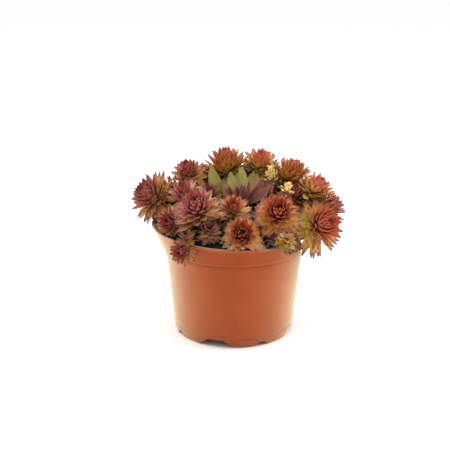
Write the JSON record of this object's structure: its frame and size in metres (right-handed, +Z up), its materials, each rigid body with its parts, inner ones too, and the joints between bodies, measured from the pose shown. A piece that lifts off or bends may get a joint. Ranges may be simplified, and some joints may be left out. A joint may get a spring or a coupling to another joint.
{
  "type": "potted houseleek",
  "caption": "Cushion of houseleek rosettes with pointed red and orange leaves, spilling over the rim of a round thin-walled terracotta-coloured plastic growing pot.",
  "frame": {"origin": "centre of the bounding box, at the height of the feet that the pot stands on", "axes": "+Z up the pot, +X to the right along the widest spread of the cushion, and the side shown in the picture faces -Y"},
  "size_m": [0.177, 0.144, 0.1455],
  "materials": {
    "pot_plastic": "semi-gloss, thin moulded",
    "peat": "crumbly, moist, matt",
    "leaf_wine": "satin skin with fine hairs on the edges",
    "leaf_ember": "satin skin with fine hairs on the edges",
    "leaf_green": "satin skin with fine hairs on the edges",
    "dry_leaf": "dry, papery"
  },
  "bodies": {
    "root": {"pot": "pot_plastic", "soil": "peat", "dry_shoot_back": "dry_leaf", "dry_shoot_front": "dry_leaf", "rosette_far_left": "leaf_wine", "rosette_upper_left": "leaf_wine", "rosette_far_right": "leaf_wine", "rosette_front_left": "leaf_wine", "rosette_left_low": "leaf_wine", "rosette_over_rim": "leaf_wine", "rosette_middle": "leaf_wine", "rosette_left_inner": "leaf_wine", "rosette_front_shaded": "leaf_wine", "rosette_back_upper_right": "leaf_wine", "rosette_back_middle": "leaf_wine", "rosette_back_low_left": "leaf_wine", "rosette_right_inner": "leaf_wine", "rosette_left_behind": "leaf_wine", "rosette_top_behind": "leaf_wine", "rosette_top_left": "leaf_ember", "rosette_top_right": "leaf_ember", "rosette_right_top": "leaf_ember", "rosette_right": "leaf_ember", "rosette_front_far_right": "leaf_ember", "rosette_front_right": "leaf_ember", "rosette_front_middle": "leaf_ember", "rosette_back_upper_left": "leaf_ember", "rosette_back_left": "leaf_ember", "rosette_back_low_right": "leaf_ember", "rosette_back_right": "leaf_ember", "rosette_mother": "leaf_green", "rosette_front_pale": "leaf_green"}
  },
  "joints": []
}
